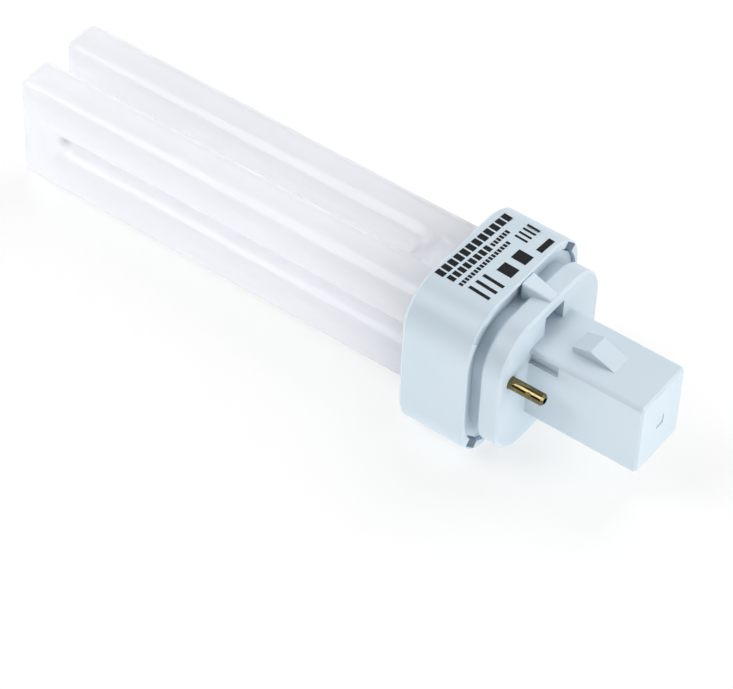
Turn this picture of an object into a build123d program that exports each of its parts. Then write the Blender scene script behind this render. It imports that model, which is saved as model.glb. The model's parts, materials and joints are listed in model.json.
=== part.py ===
from build123d import *
import math
import os

# Compact fluorescent bulb, two-pin plug-in type, in millimetres.
# It is drawn along its own axis: +X runs out of the plug, +Z is the side that faces up,
# and x = 0 is the front of the collar, which seats on the lamp holder.
# The finished pieces are then laid down as the bulb rests on a table.

# Glass
tube_diameter = 11.5
tube_pitch = 13.5
tube_reach = 94.6
tube_insertion = 3.8
tip_round = 4.4
bend_depth = 8.8
bend_round = 2.8
bridge_waist = 8.8
bridge_flare = 1.2
bridge_flare_width = 6.4
bridge_distance = 6.0
seal_width = 8.4
seal_thickness = 2.6
seal_length = 2.4
exhaust_diameter = 2.6
exhaust_length = 2.6

# Tube holder, the rounded-square cap
cap_side = 34.8
cap_corner = 8.6
cap_length = 14.4
cap_floor = 1.6
cap_wall = 2.2
rim_wall = 0.6
rim_corner = 11.0  # larger than the cap's own corner, so the rim is thick there
cap_edge_bevel = 0.8
rim_edge_bevel = 0.25
tube_fit = 0.2
adhesive_depth = 2.2
adhesive_fit = 0.05

# Plug base: plate, collar, key block and post
plate_thickness = 2.0
plate_recess = 0.8
plate_fit = 0.15
corner_gap_width = 3.6
corner_gap_depth = 1.9
corner_skin = 0.45
collar_width = 31.3
collar_height = 29.2
collar_corner = 8.8
collar_length = 6.0
flange_thickness = 4.4
flange_back_bevel = 0.5
groove_depth = 1.4
collar_edge_bevel = 0.5
key_back_width = 3.8
key_front_width = 2.5
key_far_y = 2.2
key_back_height = 2.4
key_front_height = 0.4
key_gap = 0.1
key_root = 4.0
key_edge_round = 0.4
pocket_width = 5.8
pocket_offset = 0.6
pocket_height = 4.3
pocket_depth = 3.6
post_width = 13.7
post_height = 16.5
post_length = 23.8
post_wall = 1.3
post_corner = 0.9
post_end_bevel = 0.5
latch_width = 4.6
latch_start = 6.0
latch_peak = 9.6
latch_end = 14.8
latch_heel = 1.0
latch_height = 2.0
gate_side = 2.2
gate_depth = 0.15
side_recess_length = 6.2
side_recess_height = 2.4
side_recess_z = 6.4
side_recess_depth = 0.8

# Contact pins, hollow at the tip and crimped
pin_diameter = 2.4
pin_spacing = 24.4
pin_height = 4.5
pin_reach = 7.2
pin_shank_diameter = 2.0
pin_tail = 0.8
pin_fit = 0.05
pin_seat = 0.15  # depth of the collar's seat for the pin's shoulder
pin_tip_bevel = 0.4
pin_mouth_depth = 1.4
pin_mouth_diameter = 1.2
crimp_x = 4.3
crimp_radius = 0.8
crimp_depth = 0.45

# Starter, capacitor and wiring inside the cap
starter_diameter = 6.4
starter_length = 18.0
starter_nose = 1.8
starter_start = 1.2
inner_clearance = 0.3
capacitor_thickness = 4.2
capacitor_width = 9.0
capacitor_length = 11.0
capacitor_round = 0.8
capacitor_start = 2.0
wire_diameter = 0.6
wire_gap = 0.1
seal_lead_spacing = 4.4
starter_leg_spacing = 2.4
capacitor_leg_spacing = 5.0
capacitor_leg_run = 5.0

# How far from a plane an edge may lie and still be picked for rounding
pick_margin = 0.01

# Places along the axis
tube_radius = tube_diameter / 2
half_pitch = tube_pitch / 2
rim_x = -collar_length
cap_back_x = rim_x - cap_length
floor_x = cap_back_x + cap_floor
tube_end_x = floor_x + tube_insertion
seal_end_x = tube_end_x + seal_length
tip_x = cap_back_x - tube_reach
bend_x = tip_x + tube_radius
plate_front_x = rim_x - plate_recess
plate_back_x = plate_front_x - plate_thickness
pin_tail_x = plate_back_x - pin_tail
wire_turn_x = (seal_end_x + pin_tail_x) / 2
pin_y = pin_spacing / 2


def across(x):
    """Sketch plane square to the bulb's axis at x, with Y to the right and Z up."""
    return Plane.YZ.offset(x)


def rod(radius, x_from, x_to, y, z):
    """Round bar along the axis."""
    return extrude(across(x_from) * Pos(y, z) * Circle(radius), x_to - x_from)


def prism(profile, x_from, x_to):
    """Bar along the axis with the given section."""
    return extrude(across(x_from) * profile, x_to - x_from)


def edges_at(solid, x):
    """All edges of a solid that lie in the plane at x."""
    return solid.edges().filter_by_position(Axis.X, x - pick_margin, x + pick_margin)


def crossbar(y):
    """Upright passage that joins the two legs of a twin, flatter on its inner side."""
    inner = RectangleRounded(2 * (bend_depth - tube_radius), tube_diameter, bend_round)
    section = Pos(bend_x, y) * (Circle(tube_radius) + inner)
    return extrude(Plane.XY.offset(-half_pitch) * section, tube_pitch)


def side_outline(y):
    """Block with the side view of a twin tube: square at the tip, with rounded corners."""
    length = tube_end_x + tip_round - tip_x
    height = tube_pitch + tube_diameter
    view = Pos(tip_x + length / 2, 0) * RectangleRounded(length, height, tip_round)
    return extrude(Plane.XZ.offset(-y) * view, tube_radius, both=True)


def twin_tube(y):
    """Two legs, one above the other, with a square bend where legs and crossbar cut into each other."""
    twin = crossbar(y)
    upright = Pos(bend_x, y, 0) * Cylinder(tube_radius, tube_pitch + tube_diameter)
    for z in (-half_pitch, half_pitch):
        twin += rod(tube_radius, bend_x, tube_end_x, y, z)
        twin += rod(tube_radius, tip_x, bend_x, y, z) & upright
    return twin & side_outline(y)


def bridge():
    """Short fused passage between the upper legs, waisted in the middle and flared into both."""
    waist = bridge_waist / 2
    reach = bridge_flare_width / 2
    flared = waist + bridge_flare
    sides = Polyline((flared, reach), (0, reach), (0, -reach), (flared, -reach))
    waisted = ThreePointArc((flared, -reach), (waist, 0), (flared, reach))
    return Pos(cap_back_x - bridge_distance, 0, half_pitch) * revolve(make_face(sides + waisted), Axis.Y)


def discharge_tube():
    """Sealed glass: two twin tubes, the bridge between them and their sealed ends."""
    glass = twin_tube(-half_pitch) + twin_tube(half_pitch) + bridge()
    for side in (-1, 1):
        seal = Pos(side * half_pitch, -half_pitch) * SlotOverall(seal_width, seal_thickness)
        glass += prism(seal, tube_end_x, seal_end_x)
    return glass + rod(exhaust_diameter / 2, tube_end_x, tube_end_x + exhaust_length, half_pitch, half_pitch)


def cap_inside(wall, corner):
    """Section of the room inside a wall of the cap."""
    return RectangleRounded(cap_side - 2 * wall, cap_side - 2 * wall, corner)


def tube_holes(clearance, x_from, x_to):
    """Four round bars where the tubes pass through."""
    circles = Sketch() + GridLocations(tube_pitch, tube_pitch, 2, 2) * Circle(tube_radius + clearance)
    return prism(circles, x_from, x_to)


def corner_gaps():
    """Section of the small gaps in the four corners, where the plate can be prised out of the rim."""
    reach = (cap_side / 2 - cap_corner) * math.sqrt(2) + cap_corner - corner_skin - corner_gap_depth / 2
    gaps = Sketch()
    for angle in (45, 135, 225, 315):
        gaps += Rot(0, 0, angle) * Pos(reach, 0) * Rectangle(corner_gap_depth, corner_gap_width)
    return gaps


def tube_holder():
    """Moulded cap: a cup with four tube holes, and a ledge that the plug's plate sits on."""
    cup = prism(RectangleRounded(cap_side, cap_side, cap_corner), cap_back_x, rim_x)
    cup = chamfer(edges_at(cup, cap_back_x), cap_edge_bevel)
    cup = chamfer(edges_at(cup, rim_x), rim_edge_bevel)
    cup -= prism(cap_inside(cap_wall, cap_corner - cap_wall), floor_x, rim_x)
    cup -= prism(cap_inside(rim_wall, rim_corner), plate_back_x, rim_x)
    cup -= prism(corner_gaps(), plate_back_x, rim_x)
    return cup - tube_holes(tube_fit, cap_back_x, floor_x)


def tube_adhesive():
    """Bonding layer poured round the tubes on the floor of the cap."""
    wall = cap_wall + adhesive_fit
    layer = prism(cap_inside(wall, cap_corner - wall), floor_x, floor_x + adhesive_depth)
    return layer - tube_holes(adhesive_fit, floor_x, floor_x + adhesive_depth)


def plate():
    """Plate that closes the cap, with a small gap in each corner."""
    body = prism(cap_inside(rim_wall + plate_fit, rim_corner - plate_fit), plate_back_x, plate_front_x)
    return body - prism(corner_gaps(), plate_back_x, plate_front_x)


def collar():
    """Flange that seats on the lamp holder, on a neck that leaves a groove beside the cap."""
    flange_back_x = -flange_thickness
    flange = prism(RectangleRounded(collar_width, collar_height, collar_corner), flange_back_x, 0)
    flange = chamfer(edges_at(flange, 0), collar_edge_bevel)
    flange = chamfer(edges_at(flange, flange_back_x), flange_back_bevel)
    neck = RectangleRounded(
        collar_width - 2 * groove_depth, collar_height - 2 * groove_depth, collar_corner - groove_depth)
    return flange + prism(neck, plate_front_x, flange_back_x)


def key_block():
    """Rib on top of the collar that falls and narrows to its front, which lets one holder type accept it."""
    back_x, front_x = rim_x + key_gap, -collar_edge_bevel
    collar_top_z = collar_height / 2
    root_z = collar_top_z - key_root
    side_view = Polyline(
        (back_x, root_z),
        (back_x, collar_top_z + key_back_height),
        (front_x, collar_top_z + key_front_height),
        (front_x, root_z),
        close=True,
    )
    top_view = Polyline(
        (back_x, key_far_y - key_back_width),
        (front_x, key_far_y - key_front_width),
        (front_x, key_far_y),
        (back_x, key_far_y),
        close=True,
    )
    rib = extrude(Plane.XZ.offset(-key_far_y) * make_face(side_view), key_back_width)
    rib &= extrude(Plane.XY.offset(root_z) * make_face(top_view), key_root + key_back_height)
    top_edges = rib.faces().sort_by(Axis.Z)[-1].edges().sort_by(Edge.length)[-2:]
    return fillet(top_edges, key_edge_round)


def latch(side):
    """Snap wedge on the upper or lower face of the post."""
    root_z = post_height / 2
    outline = Polyline(
        (latch_start, root_z - post_wall / 2),
        (latch_start, root_z + latch_heel),
        (latch_peak, root_z + latch_height),
        (latch_end, root_z),
        (latch_end, root_z - post_wall / 2),
        close=True,
    )
    wedge = extrude(Plane.XZ.offset(-latch_width / 2) * make_face(outline), latch_width)
    return wedge if side > 0 else mirror(wedge, about=Plane.XY)


def post():
    """Rectangular plug post with rounded edges and a latch wedge above and below."""
    block = prism(RectangleRounded(post_width, post_height, post_corner), -flange_thickness, post_length)
    block = chamfer(edges_at(block, post_length), post_end_bevel)
    for side in (-1, 1):
        block += latch(side)
    return block


def pin_z(side):
    """Height of a pin: the two lie half a turn from each other about the bulb's axis."""
    return -side * pin_height


def plug_base():
    """Moulded plug: plate, collar, key block and hollow post in one piece."""
    plug = plate() + collar() + key_block() + post()
    room = Rectangle(post_width - 2 * post_wall, post_height - 2 * post_wall)
    plug -= prism(room, plate_back_x, post_length - post_wall)
    pocket_z = post_height / 2 + pocket_height / 2
    pocket = Pos(pocket_offset, pocket_z) * Rectangle(pocket_width, pocket_height)
    plug -= prism(pocket, -pocket_depth, 0)
    plug -= prism(Rectangle(gate_side, gate_side), post_length - gate_depth, post_length)
    side_recess = Pos(-post_width / 2, side_recess_z) * Rectangle(2 * side_recess_depth, side_recess_height)
    plug -= prism(side_recess, 0, side_recess_length)
    for side in (-1, 1):
        plug -= rod(pin_shank_diameter / 2 + pin_fit, plate_back_x, 0, side * pin_y, pin_z(side))
        plug -= rod(pin_diameter / 2 + pin_fit, -pin_seat, 0, side * pin_y, pin_z(side))
    return plug


def contact_pin(side):
    """Brass pin on the collar, hollow at its tip and crimped on its outer side."""
    y, z = side * pin_y, pin_z(side)
    pin = rod(pin_diameter / 2, -pin_seat, pin_reach, y, z)
    pin = chamfer(edges_at(pin, pin_reach), pin_tip_bevel)
    pin += rod(pin_shank_diameter / 2, pin_tail_x, -pin_seat, y, z)
    pin -= rod(pin_mouth_diameter / 2, pin_reach - pin_mouth_depth, pin_reach, y, z)
    dent_y = side * (pin_y + pin_diameter / 2 + crimp_radius - crimp_depth)
    return pin - Pos(crimp_x, dent_y, z) * Cylinder(crimp_radius, pin_diameter)


def starter_z():
    """Height of the starter's axis: against the upper inner wall of the post."""
    return post_height / 2 - post_wall - inner_clearance - starter_diameter / 2


def capacitor_z():
    """Height of the capacitor's middle: against the lower inner wall of the post."""
    return -(post_height / 2 - post_wall - inner_clearance - capacitor_thickness / 2)


def glow_starter():
    """Small glass glow-switch bottle with a tapered nose."""
    end_x = starter_start + starter_length
    bottle = rod(starter_diameter / 2, starter_start, end_x, 0, starter_z())
    return chamfer(edges_at(bottle, end_x), starter_nose)


def starter_capacitor():
    """Dipped film capacitor, wired across the starter."""
    section = Pos(0, capacitor_z()) * RectangleRounded(capacitor_width, capacitor_thickness, capacitor_round)
    return prism(section, capacitor_start, capacitor_start + capacitor_length)


def wire(points):
    """Round wire along straight runs with sharp bends."""
    path = Polyline(*points)
    start = Plane(origin=path @ 0, z_dir=path % 0)
    return sweep(start * Circle(wire_diameter / 2), path=path, transition=Transition.RIGHT)


def pin_lead(side):
    """Wire from the electrode's seal to the tail of a contact pin."""
    seal_y = side * (half_pitch + seal_lead_spacing / 2)
    return wire([
        (seal_end_x, seal_y, -half_pitch),
        (wire_turn_x, seal_y, -half_pitch),
        (wire_turn_x, side * pin_y, pin_z(side)),
        (pin_tail_x, side * pin_y, pin_z(side)),
    ])


def starter_lead(side):
    """Wire from the electrode's seal into the post, to the foot of the starter."""
    seal_y = side * (half_pitch - seal_lead_spacing / 2)
    leg_y = side * starter_leg_spacing / 2
    return wire([
        (seal_end_x, seal_y, -half_pitch),
        (wire_turn_x, seal_y, -half_pitch),
        (wire_turn_x, leg_y, starter_z()),
        (starter_start, leg_y, starter_z()),
    ])


def capacitor_leg(side):
    """Wire from the capacitor up to the starter's lead."""
    leg_x = capacitor_start - capacitor_leg_run
    leg_y = side * capacitor_leg_spacing / 2
    return wire([
        (capacitor_start, leg_y, capacitor_z()),
        (leg_x, leg_y, capacitor_z()),
        (leg_x, side * starter_leg_spacing / 2, starter_z() - wire_diameter / 2 - wire_gap),
    ])


def rest_tilt():
    """Angle at which the cap's back edge and the lower tips both touch the table."""
    run = (cap_back_x + cap_edge_bevel) - (tip_x + tip_round)
    drop = cap_side / 2 - (half_pitch + tube_radius - tip_round)
    lift = math.asin(tip_round / math.hypot(run, drop))
    return math.degrees(math.atan2(drop, run) - lift)


def laid_down(pieces):
    """The pieces turned to their rest, with the middle of their footprint at the origin."""
    turn = Rot(0, -rest_tilt(), 0)
    box = Compound([turn * piece for piece in pieces.values()]).bounding_box()
    middle = box.center()
    place = Pos(-middle.X, -middle.Y, -box.min.Z) * turn
    return {name: place * piece for name, piece in pieces.items()}


def build():
    """Every piece by its node name, in the bulb's own axis frame."""
    pieces = {
        "discharge_tube": discharge_tube(),
        "tube_holder": tube_holder(),
        "tube_adhesive": tube_adhesive(),
        "plug_base": plug_base(),
        "glow_starter": glow_starter(),
        "starter_capacitor": starter_capacitor(),
    }
    for name, side in (("near", -1), ("far", 1)):
        pieces[f"contact_pin_{name}"] = contact_pin(side)
        pieces[f"pin_lead_{name}"] = pin_lead(side)
        pieces[f"starter_lead_{name}"] = starter_lead(side)
        pieces[f"capacitor_leg_{name}"] = capacitor_leg(side)
    return pieces


os.makedirs("parts", exist_ok=True)
for name, piece in laid_down(build()).items():
    export_step(piece, f"parts/{name}.step")
    print(name, round(piece.volume, 1))
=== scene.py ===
# %% [markdown]
# # A plug-in compact fluorescent bulb
#
# The solids come from the CAD program at their real size: a glass discharge tube of four legs, the square
# cap that holds it, the moulded plug base, two brass contact pins and the small parts inside. Blender gives
# them their surfaces, the print on the cap, the light of a small studio and the camera of the photograph.

import json
import math

import bpy
from mathutils import Matrix, Quaternion, Vector


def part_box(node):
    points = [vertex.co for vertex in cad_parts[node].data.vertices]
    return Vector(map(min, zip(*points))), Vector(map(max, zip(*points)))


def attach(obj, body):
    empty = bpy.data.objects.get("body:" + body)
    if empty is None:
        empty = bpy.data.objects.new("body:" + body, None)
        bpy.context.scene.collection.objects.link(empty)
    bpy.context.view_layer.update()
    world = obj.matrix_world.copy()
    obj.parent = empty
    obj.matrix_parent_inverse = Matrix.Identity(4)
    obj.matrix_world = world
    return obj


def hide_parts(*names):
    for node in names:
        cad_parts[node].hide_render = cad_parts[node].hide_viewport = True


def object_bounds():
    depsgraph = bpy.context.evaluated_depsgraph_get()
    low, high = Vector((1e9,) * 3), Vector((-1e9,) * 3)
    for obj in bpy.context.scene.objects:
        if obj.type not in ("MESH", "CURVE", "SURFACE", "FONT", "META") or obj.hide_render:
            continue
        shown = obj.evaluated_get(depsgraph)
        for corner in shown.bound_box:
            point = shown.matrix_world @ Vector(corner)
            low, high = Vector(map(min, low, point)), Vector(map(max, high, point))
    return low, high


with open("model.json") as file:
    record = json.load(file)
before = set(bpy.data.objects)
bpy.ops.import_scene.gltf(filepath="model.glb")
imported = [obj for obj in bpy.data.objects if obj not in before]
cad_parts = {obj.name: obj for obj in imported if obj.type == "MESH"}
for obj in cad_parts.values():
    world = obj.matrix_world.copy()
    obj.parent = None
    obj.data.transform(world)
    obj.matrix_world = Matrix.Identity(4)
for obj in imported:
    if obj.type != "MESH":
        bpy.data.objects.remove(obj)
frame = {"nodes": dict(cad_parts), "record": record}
nodes = frame["nodes"]
cad_low, cad_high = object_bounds()
MM = 0.001
print("CAD box in mm:", [round(v / MM, 1) for v in cad_high - cad_low])

# %% [markdown]
# ## The bulb's own axes
#
# The bulb lies on the table a little tilted, on the edge of its cap and on its lower glass tips. Sizes along
# a tilted bulb are hard to read in the table's frame, so what is added here is measured in the bulb's own
# frame: x out of the plug, y to the far side, z up, from the middle of the collar's front. The record's
# mounts at the end of the plug post and on the collar give its direction and its place.

# %% The bulb's matrix
mounts = {mount["name"]: mount for mount in frame["record"]["mounts"]}
post_end = Vector(mounts["plug_post"]["pos_m"])
collar_seat = Vector(mounts["collar_seat"]["pos_m"])
along = Vector(mounts["plug_post"]["axis"]).normalized()
across = Vector((0, 1, 0))
upward = along.cross(across)
post_length = (post_end - collar_seat).dot(along)
collar_front = post_end - along * post_length
bulb = Matrix.Translation(collar_front) @ Matrix((along, across, upward)).transposed().to_4x4()
print("plug post in mm:", round(post_length / MM, 1))
print("bulb's tilt in degrees:", round(math.degrees(math.asin(along.z)), 2))

# %% [markdown]
# ## Colours and nodes
#
# A colour is written as the eye sees it on a screen, in sRGB, and a renderer works with linear light. One
# function turns the first into the second, so every material below can hold plain hex colours.

# %% Written colours to linear light
SRGB_KNEE, SRGB_SLOPE = 0.04045, 12.92
SRGB_OFFSET, SRGB_POWER = 0.055, 2.4


def linear(code):
    """A written colour like '#F3F4FC' as linear red, green, blue and alpha."""
    light = []
    for start in (1, 3, 5):
        value = int(code[start : start + 2], 16) / 255
        if value <= SRGB_KNEE:
            light.append(value / SRGB_SLOPE)
        else:
            light.append(((value + SRGB_OFFSET) / (1 + SRGB_OFFSET)) ** SRGB_POWER)
    return light + [1.0]


print("middle grey #808080 reflects", round(linear("#808080")[0], 3), "of the light")

# %% [markdown]
# A material is a small tree of nodes. Three helpers keep each one to the lines that describe it: one starts
# an empty material, one adds a node, sets it and links it, and one gives the material to CAD nodes.


# %% Materials and nodes
def material(name):
    """A node material without any nodes, and its tree."""
    made = bpy.data.materials.new(name)
    made.use_nodes = True
    made.node_tree.nodes.clear()
    return made, made.node_tree


def add(tree, kind, inputs=None, **settings):
    """Adds a node. An input is a value, or the socket of an earlier node that is linked to it."""
    node = tree.nodes.new("ShaderNode" + kind)
    for name, value in settings.items():
        setattr(node, name, value)
    for name, value in (inputs or {}).items():
        if isinstance(value, bpy.types.NodeSocket):
            tree.links.new(value, node.inputs[name])
        else:
            node.inputs[name].default_value = value
    return node


def cover(made, *names):
    """Gives a material to CAD nodes."""
    for name in names:
        mesh = nodes[name].data
        mesh.materials.clear()
        mesh.materials.append(made)
    print(made.name, "on", len(names), "nodes")


print("CAD nodes to cover:", len(nodes))

# %% [markdown]
# ## Opal glass
#
# The tube is clear drawn glass, coated white inside with phosphor. The eye gets two things from it: an even
# matt white from the coating, and over it the reflections of the glass. The coating was flushed through the
# tube as a slurry, so it is a little thinner in patches of about a centimetre. Vertex colours could hold
# these, but a noise that mixes two whites doesn't depend on the mesh.

# %% The coating
GLASS_WHITE, GLASS_THIN = "#F9FAFC", "#F3F5F8"
COATING_PATCH = 11 * MM

glass, tree = material("drawn_glass_with_phosphor_coating")
place = add(tree, "TexCoord").outputs["Object"]
patches = add(
    tree,
    "TexNoise",
    {"Vector": place, "Scale": 1 / COATING_PATCH, "Detail": 4.0, "Roughness": 0.55},
)
coating = add(
    tree,
    "Mix",
    {"Factor": patches.outputs["Fac"], "A": linear(GLASS_WHITE), "B": linear(GLASS_THIN)},
    data_type="RGBA",
)
print("coating patches along the bulb:", round((cad_high - cad_low).x / COATING_PATCH))

# %% [markdown]
# At the inner end of the slot between the near legs, where the two legs shade each other, a faint grey
# spot of painted shade darkens the glass. A painted picture could hold it, but it is only a soft spot, so
# the distance from its middle is enough to fade it out. It darkens both the outside of the wall and the
# light that comes through it.

# %% The painted crease shade
GLASS_LIT_THROUGH = "#F9F9FB"
# Painted shade: a grey spot in the crease between the near legs, darkest at its middle and gone at its edge.
CREASE_SHADE = "#5A5660"
CREASE_SHADE_PLACE = Vector((-104.2, -8.8, 0.9)) * MM
CREASE_SHADE_CORE, CREASE_SHADE_EDGE = 0.3 * MM, 2.2 * MM
CREASE_SHADE_STRENGTH = 0.42

from_crease_shade = add(tree, "VectorMath", {0: place, 1: bulb @ CREASE_SHADE_PLACE}, operation="DISTANCE")
crease_shade = add(
    tree,
    "MapRange",
    {
        "Value": from_crease_shade.outputs["Value"],
        "From Min": CREASE_SHADE_CORE,
        "From Max": CREASE_SHADE_EDGE,
        "To Min": CREASE_SHADE_STRENGTH,
        "To Max": 0.0,
    },
)
# The painted shade darkens the coating and the light through the wall alike.
outside, inside = [
    add(
        tree,
        "Mix",
        {"Factor": crease_shade.outputs["Result"], "A": clean, "B": linear(CREASE_SHADE)},
        data_type="RGBA",
    )
    for clean in (coating.outputs["Result"], linear(GLASS_LIT_THROUGH))
]
print("scorch mark in mm across:", 2 * CREASE_SHADE_EDGE / MM)

# %% [markdown]
# The wall itself is a Principled BSDF: its base is the matt coating and its coat is the smooth glass over
# it. Drawn glass is never quite straight, so a slow bump bends the reflections. The coating lets most of the
# light through, so light that enters a leg on one side comes out on the others and the legs look evenly
# bright. A Translucent BSDF gives that on a closed solid, where real refraction would need the hollow inside
# and many more samples.

# %% The glass wall
LIGHT_THROUGH = 0.7
COATING_ROUGHNESS, COATING_IOR = 0.55, 1.45
# Glass has an IOR of about 1.52. The reflections in the photograph are a little stronger.
GLASS_IOR = 1.6
GLASS_ROUGHNESS = 0.03
DRAWN_WAVE, WAVE_HEIGHT = 22 * MM, 0.6 * MM
WAVE_STRENGTH = 0.12

waves = add(tree, "TexNoise", {"Vector": place, "Scale": 1 / DRAWN_WAVE, "Detail": 1.0})
drawn = add(
    tree,
    "Bump",
    {"Height": waves.outputs["Fac"], "Strength": WAVE_STRENGTH, "Distance": WAVE_HEIGHT},
)
body = add(
    tree,
    "BsdfPrincipled",
    {
        "Base Color": outside.outputs["Result"],
        "Roughness": COATING_ROUGHNESS,
        "IOR": COATING_IOR,
        "Coat Weight": 1.0,
        "Coat Roughness": GLASS_ROUGHNESS,
        "Coat IOR": GLASS_IOR,
        "Coat Normal": drawn.outputs["Normal"],
    },
)
through = add(tree, "BsdfTranslucent", {"Color": inside.outputs["Result"]})
wall = add(tree, "MixShader", {"Fac": LIGHT_THROUGH, 1: body.outputs["BSDF"], 2: through.outputs["BSDF"]})
add(tree, "OutputMaterial", {"Surface": wall.outputs["Shader"]})
cover(glass, "discharge_tube")

# %% [markdown]
# ## Melted joints
#
# The CAD tube meets itself in sharp lines at its square bends and at the bridge. On the real tube these were
# melted together in a flame, so they run into each other. A bevel has trouble where such lines cross. A copy
# of the tube stands for the node instead, and its modifiers do what the flame did: the faces are joined, the
# surface is rebuilt from small cubes, which forgets where one part ended and the next began, and smoothing
# then lets it flow.

# %% The flame
JOINING_GAP = 0.001 * MM
REBUILT_CUBE = 0.45 * MM
FLOW_FACTOR, FLOW_PASSES = 0.5, 14

tube = bpy.data.objects.new("flame_worked_tube", nodes["discharge_tube"].data.copy())
bpy.context.collection.objects.link(tube)
weld = tube.modifiers.new("joined_faces", "WELD")
weld.merge_threshold = JOINING_GAP
rebuilt = tube.modifiers.new("one_surface", "REMESH")
rebuilt.mode = "VOXEL"
rebuilt.voxel_size = REBUILT_CUBE
rebuilt.use_smooth_shade = True
flame = tube.modifiers.new("flow", "SMOOTH")
flame.factor = FLOW_FACTOR
flame.iterations = FLOW_PASSES
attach(tube, "root")
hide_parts("discharge_tube")
shape = tube.evaluated_get(bpy.context.evaluated_depsgraph_get()).to_mesh()
print("flame worked tube faces:", len(shape.polygons))

# %% [markdown]
# ## Moulded plastic
#
# Cap and plug base are injection moulded in PBT, a heat-proof white plastic, here with a cool tint. The
# mould was spark eroded, which leaves an even grain and a satin sheen. The colour drifts a little over the
# part as the melt cools. Moulded edges are never sharp. A bevel modifier could round them, but a bevelled
# normal catches the light on them just as well and costs no faces. The real grain is about 0.05 mm, which is
# too fine to show, so it is drawn about five times as coarse.

# %% The plastic
PLASTIC, PLASTIC_COOL = "#CAD7E0", "#C0CFDA"
PLASTIC_ROUGHNESS, PLASTIC_IOR = 0.38, 1.5
EDGE_RADIUS = 0.18 * MM
EDGE_SAMPLES = 8
ERODED_GRAIN, GRAIN_HEIGHT = 0.24 * MM, 0.03 * MM
GRAIN_STRENGTH = 0.25
MELT_DRIFT = 17 * MM

plastic, tree = material("spark_eroded_moulded_pbt")
place = add(tree, "TexCoord").outputs["Object"]
drift = add(tree, "TexNoise", {"Vector": place, "Scale": 1 / MELT_DRIFT, "Detail": 3.0})
tint = add(
    tree,
    "Mix",
    {"Factor": drift.outputs["Fac"], "A": linear(PLASTIC), "B": linear(PLASTIC_COOL)},
    data_type="RGBA",
)
grain = add(tree, "TexNoise", {"Vector": place, "Scale": 1 / ERODED_GRAIN, "Detail": 2.0})
edges = add(tree, "Bevel", {"Radius": EDGE_RADIUS}, samples=EDGE_SAMPLES)
eroded = add(
    tree,
    "Bump",
    {
        "Height": grain.outputs["Fac"],
        "Strength": GRAIN_STRENGTH,
        "Distance": GRAIN_HEIGHT,
        "Normal": edges.outputs["Normal"],
    },
)
body = add(
    tree,
    "BsdfPrincipled",
    {
        "Base Color": tint.outputs["Result"],
        "Roughness": PLASTIC_ROUGHNESS,
        "IOR": PLASTIC_IOR,
        "Normal": eroded.outputs["Normal"],
    },
)
add(tree, "OutputMaterial", {"Surface": body.outputs["BSDF"]})
cover(plastic, "tube_holder", "plug_base")

# %% [markdown]
# ## Brass pins
#
# The pins are drawn brass tube. Handling leaves a thin warm tarnish on it, so the colour and the shine
# change in patches of about a millimetre. Drawing leaves fine lines along the pin. Anisotropic shading could
# stretch the highlights as they do, but noise that is stretched along x and used as a bump also shows them
# close up. Real lines are about 0.02 mm wide, too fine to show, so they are drawn about five times as wide.

# %% The brass
BRASS, TARNISH = "#8E835E", "#574E30"
BRIGHT_ROUGHNESS, DULL_ROUGHNESS = 0.1, 0.24
TARNISH_PATCH = 1.1 * MM
DRAWN_LINE = (2.5 * MM, 0.11 * MM, 0.11 * MM)
LINE_HEIGHT = 0.02 * MM
LINE_STRENGTH = 0.2

brass, tree = material("drawn_brass")
place = add(tree, "TexCoord").outputs["Object"]
stains = add(tree, "TexNoise", {"Vector": place, "Scale": 1 / TARNISH_PATCH, "Detail": 3.0})
colour = add(
    tree,
    "Mix",
    {"Factor": stains.outputs["Fac"], "A": linear(BRASS), "B": linear(TARNISH)},
    data_type="RGBA",
)
stretched = add(tree, "Mapping", {"Vector": place, "Scale": [1 / size for size in DRAWN_LINE]})
lines = add(tree, "TexNoise", {"Vector": stretched.outputs["Vector"], "Scale": 1.0, "Detail": 1.0})
scored = add(
    tree,
    "Bump",
    {"Height": lines.outputs["Fac"], "Strength": LINE_STRENGTH, "Distance": LINE_HEIGHT},
)
shine = add(
    tree,
    "MapRange",
    {"Value": stains.outputs["Fac"], "To Min": BRIGHT_ROUGHNESS, "To Max": DULL_ROUGHNESS},
)
body = add(
    tree,
    "BsdfPrincipled",
    {
        "Base Color": colour.outputs["Result"],
        "Metallic": 1.0,
        "Roughness": shine.outputs["Result"],
        "Normal": scored.outputs["Normal"],
    },
)
add(tree, "OutputMaterial", {"Surface": body.outputs["BSDF"]})
cover(brass, "contact_pin_near", "contact_pin_far")

# %% [markdown]
# ## The parts inside the cap
#
# The starter, its capacitor, the wires and the bonding compound are out of sight, but they show when the
# part is taken to pieces. Each is a simple surface with one kind of unevenness: the compound was poured and
# is matt and cloudy, the starter's bottle is smooth blown glass, the capacitor was dipped in resin, which is
# glossy and brown, and the copper wires were tinned, which leaves them silvery. Four materials could be
# written out, but they differ in so little that one loop makes them all.

# %% The hidden materials
UNEVEN_STRENGTH, UNEVEN_HEIGHT = 0.15, 0.1 * MM
wires = [name for name in nodes if "_lead_" in name or "_leg_" in name]
# Each material: its nodes, two colours, the roughness, whether it is metal, and the size of its patches.
HIDDEN = {
    "poured_bonding_compound": (["tube_adhesive"], "#E4E2D8", "#D3CFC0", 0.75, 0.0, 10 / 3 * MM),
    "blown_starter_glass": (["glow_starter"], "#DCE6E6", "#C6D4D6", 0.06, 0.0, 20 / 3 * MM),
    "dipped_resin_coating": (["starter_capacitor"], "#8A4526", "#74371D", 0.22, 0.0, 2 * MM),
    "tinned_copper_wire": (wires, "#C9C9C4", "#A9A9A6", 0.3, 1.0, 0.4 * MM),
}

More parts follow.
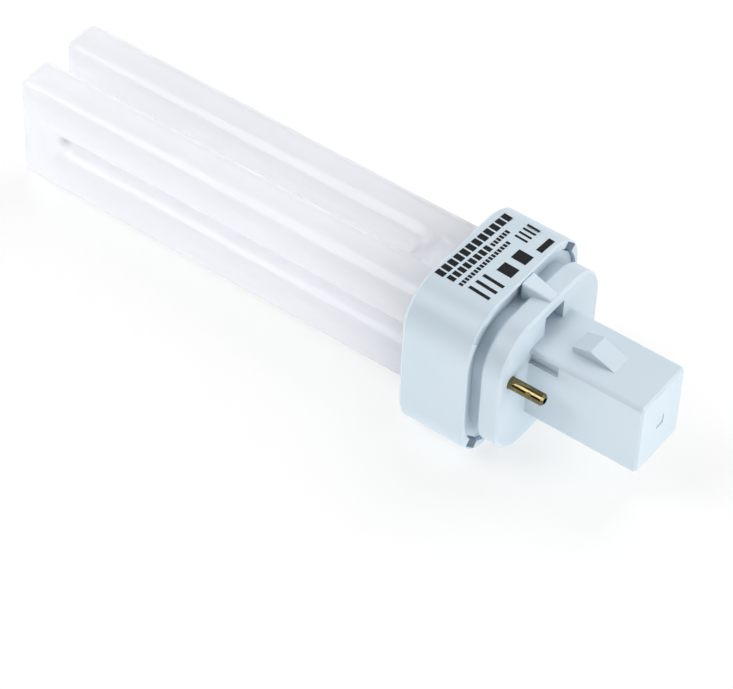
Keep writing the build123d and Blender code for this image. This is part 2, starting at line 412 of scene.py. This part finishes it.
for name, (covered, first, second, roughness, metallic, patch) in HIDDEN.items():
    made, tree = material(name)
    place = add(tree, "TexCoord").outputs["Object"]
    cloud = add(tree, "TexNoise", {"Vector": place, "Scale": 1 / patch, "Detail": 3.0})
    mixed = add(
        tree,
        "Mix",
        {"Factor": cloud.outputs["Fac"], "A": linear(first), "B": linear(second)},
        data_type="RGBA",
    )
    uneven = add(
        tree,
        "Bump",
        {"Height": cloud.outputs["Fac"], "Strength": UNEVEN_STRENGTH, "Distance": UNEVEN_HEIGHT},
    )
    body = add(
        tree,
        "BsdfPrincipled",
        {
            "Base Color": mixed.outputs["Result"],
            "Roughness": roughness,
            "Metallic": metallic,
            "Normal": uneven.outputs["Normal"],
        },
    )
    add(tree, "OutputMaterial", {"Surface": body.outputs["BSDF"]})
    cover(made, *covered)

# %% [markdown]
# ## The print on the cap
#
# The top of the cap is pad printed in black, in rows of plain bars. Pad printing leaves a dull, slightly
# speckled ink: almost no gloss, and two blacks in specks of a third of a millimetre. The specks are drawn
# coarser than real ones, which wouldn't show.

# %% The ink
INK, INK_WORN = "#08090C", "#15181D"
INK_SPECK = MM / 3
INK_ROUGHNESS, INK_GLOSS = 0.6, 0.25

ink, tree = material("pad_printed_ink")
place = add(tree, "TexCoord").outputs["Object"]
specks = add(tree, "TexNoise", {"Vector": place, "Scale": 1 / INK_SPECK, "Detail": 2.0})
black = add(
    tree,
    "Mix",
    {"Factor": specks.outputs["Fac"], "A": linear(INK), "B": linear(INK_WORN)},
    data_type="RGBA",
)
body = add(
    tree,
    "BsdfPrincipled",
    {
        "Base Color": black.outputs["Result"],
        "Roughness": INK_ROUGHNESS,
        "Specular IOR Level": INK_GLOSS,
    },
)
add(tree, "OutputMaterial", {"Surface": body.outputs["BSDF"]})
print(ink.name, "in specks per mm:", round(MM / INK_SPECK, 1))

# %% [markdown]
# Ink lies on the surface as a film of a few hundredths of a millimetre. A colour mask in the plastic would
# do, but a film of its own has true edges and can be taken off. Each bar is a thin box in the bulb's frame
# that stands that little out of the cap. The cap is square and in the middle of the bulb, so its top is as
# high above the axis as its far side is behind it.

# %% The printed rows
INK_FILM = 0.02 * MM
BOX_FACES = ((0, 1, 2, 3), (7, 6, 5, 4), (4, 5, 1, 0), (5, 6, 2, 1), (6, 7, 3, 2), (7, 4, 0, 3))
# Each row: where it starts and ends as (x, y), how high it is, and the width of a bar and of the gap, in mm.
PRINT_ROWS = [
    ((-18.5, -9.2), (-17.3, 10.8), 1.9, 1.3, 0.4),
    ((-16.2, -9.0), (-15.4, 2.0), 1.6, 1.05, 0.38),
    ((-15.3, 2.6), (-15.1, 7.8), 1.0, 0.6, 0.25),
    ((-14.0, -9.0), (-13.4, 5.4), 0.9, 0.6, 0.25),
    ((-10.3, -8.8), (-9.9, -3.6), 4.6, 0.75, 1.2),
    ((-9.6, -2.0), (-9.3, 5.4), 3.2, 2.6, 1.6),
    ((-12.2, 7.0), (-12.0, 10.6), 2.8, 0.5, 0.7),
    ((-7.9, 6.5), (-7.7, 10.4), 1.3, 3.9, 0.0),
]

cap_far_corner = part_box("tube_holder")[1]
cap_top = cap_far_corner.y
vertices, faces = [], []
for start, end, height, width, gap in PRINT_ROWS:
    row = Vector(end) - Vector(start)
    ahead = row.normalized()
    aside = Vector((-ahead.y, ahead.x)) * height / 2
    for bar in range(round((row.length + gap) / (width + gap))):
        near = Vector(start) + ahead * bar * (width + gap)
        far = near + ahead * width
        first = len(vertices)
        for z in (cap_top, cap_top + INK_FILM):
            for corner in (near - aside, far - aside, far + aside, near + aside):
                vertices.append(bulb @ Vector((corner.x * MM, corner.y * MM, z)))
        faces += [[first + corner for corner in face] for face in BOX_FACES]
mesh = bpy.data.meshes.new("printed_rows")
mesh.from_pydata(vertices, [], faces)
mesh.materials.append(ink)
printed = bpy.data.objects.new("printed_rows", mesh)
bpy.context.collection.objects.link(printed)
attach(printed, "root")
print("printed bars:", len(faces) // len(BOX_FACES))

# %% [markdown]
# ## The table
#
# The photograph shows a white table that is brighter than the bulb on it, dark grooves and hardly any
# shadow. A sheet of white acrylic gives that, sanded matt so that it doesn't mirror the bulb, with a light
# behind it on the camera's side. A lamp under the table would need a sheet that lets light through. It is
# simpler to let the sheet itself glow on the camera's side, and to let the glow fade out under the bulb, so
# that the far side keeps its shade.

# %% The floor and its glow
FLOOR_SIZE = 4.0
ACRYLIC, GLOW_WHITE = "#F4F5F4", "#FFFFFF"
PANEL_GLOW = 0.86
PANEL_EDGE = 30 * MM

half = FLOOR_SIZE / 2
corners = [(-half, -half, 0), (half, -half, 0), (half, half, 0), (-half, half, 0)]
floor_mesh = bpy.data.meshes.new("floor")
floor_mesh.from_pydata(corners, [], [(0, 1, 2, 3)])
floor = bpy.data.objects.new("floor", floor_mesh)
bpy.context.collection.objects.link(floor)

acrylic, tree = material("sanded_white_acrylic")
matt = add(tree, "BsdfDiffuse", {"Color": linear(ACRYLIC)})
place = add(tree, "TexCoord").outputs["Object"]
towards_far = add(tree, "SeparateXYZ", {"Vector": place}).outputs["Y"]
panel = add(
    tree,
    "MapRange",
    {
        "Value": towards_far,
        "From Min": -PANEL_EDGE,
        "From Max": PANEL_EDGE,
        "To Min": PANEL_GLOW,
        "To Max": 0.0,
    },
)
glow = add(tree, "Emission", {"Color": linear(GLOW_WHITE), "Strength": panel.outputs["Result"]})
lit = add(tree, "AddShader", {0: matt.outputs["BSDF"], 1: glow.outputs["Emission"]})
floor_mesh.materials.append(acrylic)
print("floor in m:", FLOOR_SIZE, "with a glow of", PANEL_GLOW)

# %% [markdown]
# Stronger lamps would turn the table white, but they would burn out the bulb as well. So the table is lifted
# where it is looked at, and not where it gives light. More than half of what the camera sees is a plain
# white, and the rest is the matt acrylic under the lamps, which keeps a faint shadow. Glossy rays see the
# same, so that the pins and the glass reflect that table, and clear transmission is added for the same
# reason. Cycles counts light that a translucent wall scatters as both transmitted and diffuse, so taking the
# diffuse rays off leaves the clear ones alone.

# %% What the camera sees of it
TABLE_WHITE = "#FFFFFE"
TABLE_STRENGTH = 1.05
TABLE_LIFT = 0.6

white = add(tree, "Emission", {"Color": linear(TABLE_WHITE), "Strength": TABLE_STRENGTH})
lifted = add(
    tree,
    "MixShader",
    {"Fac": TABLE_LIFT, 1: matt.outputs["BSDF"], 2: white.outputs["Emission"]},
)
path = add(tree, "LightPath")
mirrored = add(tree, "Math", {0: path.outputs["Is Camera Ray"], 1: path.outputs["Is Glossy Ray"]})
clear = add(
    tree,
    "Math",
    {0: path.outputs["Is Transmission Ray"], 1: path.outputs["Is Diffuse Ray"]},
    operation="SUBTRACT",
    use_clamp=True,
)
seen = add(
    tree,
    "Math",
    {0: mirrored.outputs["Value"], 1: clear.outputs["Value"]},
    use_clamp=True,
)
table = add(
    tree,
    "MixShader",
    {"Fac": seen.outputs["Value"], 1: lit.outputs["Shader"], 2: lifted.outputs["Shader"]},
)
add(tree, "OutputMaterial", {"Surface": table.outputs["Shader"]})
print(acrylic.name, "nodes:", len(tree.nodes))

# %% [markdown]
# ## The light
#
# Soft boxes stand round the bulb, at a level at which the plastic renders about as its colour is written. A
# picture of a studio on the world could light it too, but boxes can be moved and dimmed one by one. The one
# over the tips is smaller: its reflection is the bright line along the glass. The rest light the tops, both
# ends and the far side. The sky adds only a trace, so that no corner is quite black.

# %% The soft boxes
SKY_WHITE, SKY_STRENGTH = "#FFFFFF", 0.02
BOX_DISTANCE = 0.8
# Each box: the direction in which it stands, the length of its side in metres, and its power in watts.
SOFT_BOXES = {
    "box_beyond_plug": ((1, -0.1, 0.25), 0.5, 2.9),
    "box_far_right": ((0.7, 0.7, 0.4), 0.5, 2.2),
    "box_far": ((0, 1, 0.45), 0.5, 1.0),
    "box_above_far": ((0, 0.5, 0.85), 0.5, 2.3),
    "box_above": ((0, 0, 1), 0.5, 0.8),
    "box_beyond_tips": ((-1, -0.05, 0.35), 0.5, 1.9),
    "box_over_tips": ((-0.39, -0.5, 0.75), 0.42, 2.9),
}

world = bpy.data.worlds.new("studio_sky")
bpy.context.scene.world = world
world.use_nodes = True
sky = world.node_tree.nodes["Background"]
sky.inputs["Color"].default_value = linear(SKY_WHITE)
sky.inputs["Strength"].default_value = SKY_STRENGTH

middle = (cad_low + cad_high) / 2
for name, (direction, side, watts) in SOFT_BOXES.items():
    lamp = bpy.data.lights.new(name, "AREA")
    lamp.size = side
    lamp.energy = watts
    box = bpy.data.objects.new(name, lamp)
    box.location = middle + Vector(direction).normalized() * BOX_DISTANCE
    box.rotation_mode = "QUATERNION"
    box.rotation_quaternion = (middle - box.location).to_track_quat("-Z", "Y")
    bpy.context.collection.objects.link(box)
print("soft boxes:", len(SOFT_BOXES))

# %% [markdown]
# ## The camera
#
# The camera stands where the photographer's stood. Its place, lens and small roll were found by fitting the
# corners of cap, collar and post to the photograph. A Track To constraint could aim it, but it would leave
# no room for the roll. A track rotation aims it once, and a turn about its own axis adds the roll.

# %% The camera
CAMERA_PLACE = Vector((222.986, -347.748, 446.809)) * MM
CAMERA_AIM = Vector((12.331, -8.188, 5.659)) * MM
CAMERA_ROLL = math.radians(6.305)
FOCAL_LENGTH, SENSOR_WIDTH = 159.21, 36.0
NEAREST, FARTHEST = 0.01, 20.0

lens = bpy.data.cameras.new("camera")
lens.lens = FOCAL_LENGTH
lens.sensor_width = SENSOR_WIDTH
lens.clip_start = NEAREST
lens.clip_end = FARTHEST
camera = bpy.data.objects.new("camera", lens)
view = CAMERA_AIM - CAMERA_PLACE
camera.location = CAMERA_PLACE
camera.rotation_mode = "QUATERNION"
camera.rotation_quaternion = view.to_track_quat("-Z", "Y") @ Quaternion((0, 0, 1), CAMERA_ROLL)
bpy.context.collection.objects.link(camera)
bpy.context.scene.camera = camera
bpy.context.scene.view_settings.view_transform = "Standard"
print("camera's distance in mm:", round(view.length / MM))
